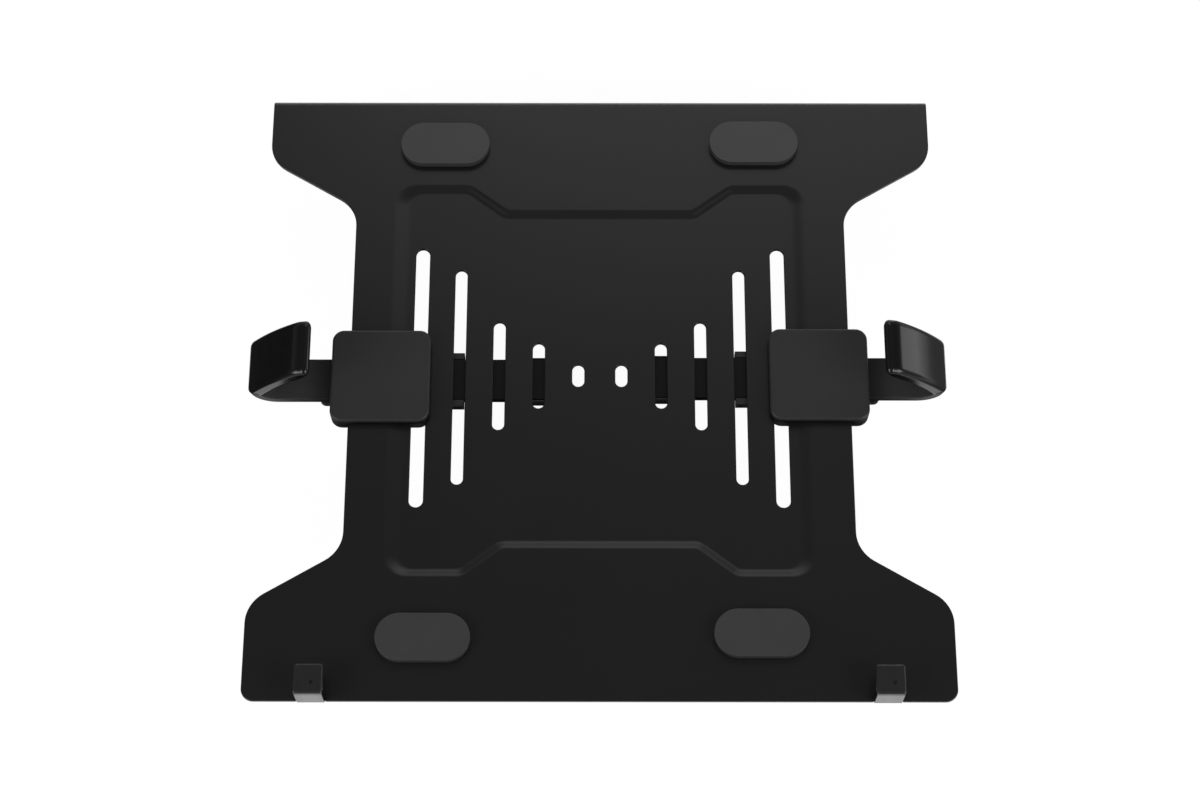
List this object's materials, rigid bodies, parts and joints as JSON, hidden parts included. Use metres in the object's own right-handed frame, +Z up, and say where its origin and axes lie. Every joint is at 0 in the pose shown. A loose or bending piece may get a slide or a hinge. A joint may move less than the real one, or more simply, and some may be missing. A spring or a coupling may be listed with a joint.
{
  "type": "laptop tray mount",
  "caption": "Flat black laptop tray with waisted sides, slotted centre, rubber pads, capped front hooks and side claws on sliding arms and clamps, for a monitor arm.",
  "frame": {"origin": "centre of the bounding box in plan, at the feet of the standoffs", "axes": "+X to the right along the arms, +Y from the front hooks to the folded back edge, +Z up from the tray's top"},
  "size_m": [0.3437, 0.3224, 0.0592],
  "materials": {
    "powder_coated_sheet": "matte fine-textured black powder coat",
    "black_moulding": "satin",
    "gloss_moulding": "gloss",
    "grey_rubber": "matte",
    "black_rubber": "matte",
    "plated_steel": "satin zinc plate",
    "black_fastener": "black zinc"
  },
  "bodies": {
    "tray": {"tray_plate": "powder_coated_sheet", "pad_back_left": "grey_rubber", "pad_back_right": "grey_rubber", "pad_front_left": "grey_rubber", "pad_front_right": "grey_rubber", "front_hook_left": "plated_steel", "front_hook_right": "plated_steel", "hook_cap_left": "black_rubber", "hook_cap_right": "black_rubber", "standoff_front_left": "plated_steel", "standoff_back_left": "plated_steel", "standoff_front_right": "plated_steel", "standoff_back_right": "plated_steel"},
    "clamp_left": {"clamp_cover_left": "black_moulding", "clamp_base_left": "black_moulding", "clamp_screw_inner_front_left": "black_fastener", "clamp_screw_inner_back_left": "black_fastener", "clamp_screw_outer_front_left": "black_fastener", "clamp_screw_outer_back_left": "black_fastener", "lever_pin_left": "black_fastener"},
    "arm_left": {"arm_bar_left": "powder_coated_sheet", "claw_cover_left": "gloss_moulding", "arm_stop_left": "black_moulding", "arm_stop_screw_left": "black_fastener"},
    "lever_left": {"lock_lever_left": "black_moulding"},
    "clamp_right": {"clamp_cover_right": "black_moulding", "clamp_base_right": "black_moulding", "clamp_screw_inner_front_right": "black_fastener", "clamp_screw_inner_back_right": "black_fastener", "clamp_screw_outer_front_right": "black_fastener", "clamp_screw_outer_back_right": "black_fastener", "lever_pin_right": "black_fastener"},
    "arm_right": {"arm_bar_right": "powder_coated_sheet", "claw_cover_right": "gloss_moulding", "arm_stop_right": "black_moulding", "arm_stop_screw_right": "black_fastener"},
    "lever_right": {"lock_lever_right": "black_moulding"}
  },
  "joints": [
    {"name": "clamp_left_slide", "type": "slide", "parent": "tray", "child": "clamp_left", "axis": [0, 1, 0], "range_m": [-0.03, 0.03]},
    {"name": "arm_left_slide", "type": "slide", "parent": "clamp_left", "child": "arm_left", "axis": [-1, 0, 0], "range_m": [-0.0195, 0.0275]},
    {"name": "lever_left_hinge", "type": "hinge", "parent": "clamp_left", "child": "lever_left", "pos_m": [-0.1, 0.00505, 0.0096], "axis": [0, -1, 0], "range_deg": [0, 70]},
    {"name": "clamp_right_slide", "type": "slide", "parent": "tray", "child": "clamp_right", "axis": [0, 1, 0], "range_m": [-0.03, 0.03]},
    {"name": "arm_right_slide", "type": "slide", "parent": "clamp_right", "child": "arm_right", "axis": [1, 0, 0], "range_m": [-0.017, 0.03]},
    {"name": "lever_right_hinge", "type": "hinge", "parent": "clamp_right", "child": "lever_right", "pos_m": [0.1, 0.00615, 0.0096], "axis": [0, 1, 0], "range_deg": [0, 70]}
  ]
}
